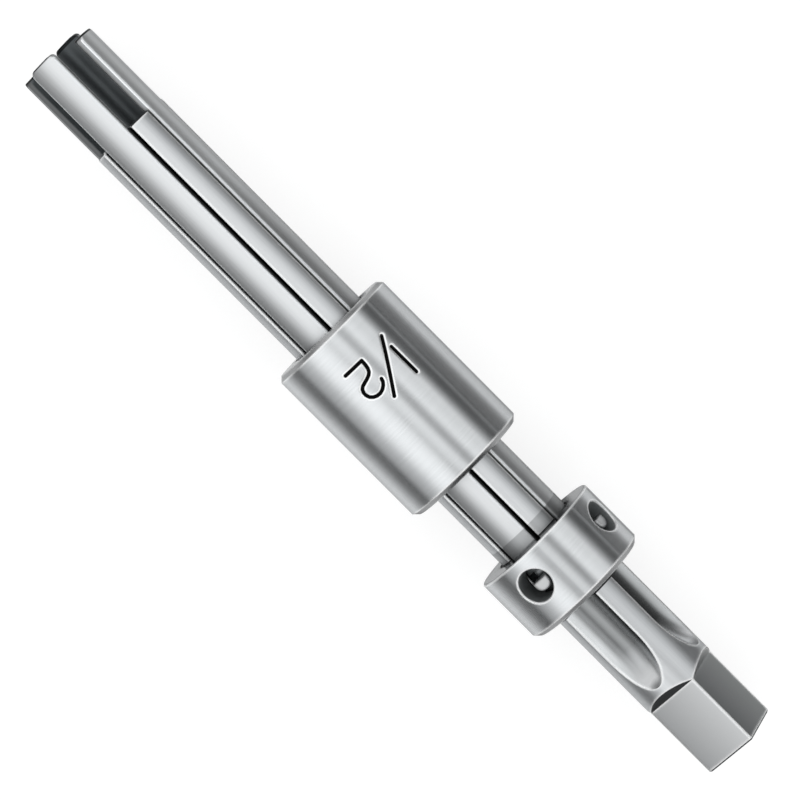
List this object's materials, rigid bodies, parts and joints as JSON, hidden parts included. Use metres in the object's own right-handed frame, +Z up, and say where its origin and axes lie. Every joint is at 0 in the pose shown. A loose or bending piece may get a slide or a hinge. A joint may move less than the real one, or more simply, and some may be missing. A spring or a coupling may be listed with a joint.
{
  "type": "tap extractor",
  "caption": "Broken tap extractor: grooved steel holder with a square drive, sliding fingers hooked into a collar, and a sleeve that keeps the fingers in their grooves.",
  "frame": {"origin": "centre of the bounding box at the surface that collar and sleeve lie on", "axes": "+X along the tool from the square to the finger tips, +Z up. The tool lies rolled by 22 degrees: finger_1 stands 22 degrees from +Z towards +Y, and finger_2, 3 and 4 follow by quarter turns towards -Y"},
  "size_m": [0.1126, 0.0166, 0.0166],
  "materials": {
    "holder_steel": "satin, turned and milled",
    "finger_steel": "satin, ground along its length",
    "collar_steel": "satin, turned",
    "sleeve_steel": "satin, turned"
  },
  "bodies": {
    "holder": {"holder": "holder_steel"},
    "finger_set": {"collar": "collar_steel", "finger_1": "finger_steel", "finger_2": "finger_steel", "finger_3": "finger_steel", "finger_4": "finger_steel"},
    "sleeve": {"sleeve": "sleeve_steel"}
  },
  "joints": [
    {"name": "collar_slide", "type": "slide", "parent": "holder", "child": "finger_set", "axis": [1, 0, 0], "range_m": [-0.011, 0.012]},
    {"name": "sleeve_slide", "type": "slide", "parent": "finger_set", "child": "sleeve", "axis": [1, 0, 0], "range_m": [-0.01105, 0.0447]}
  ]
}
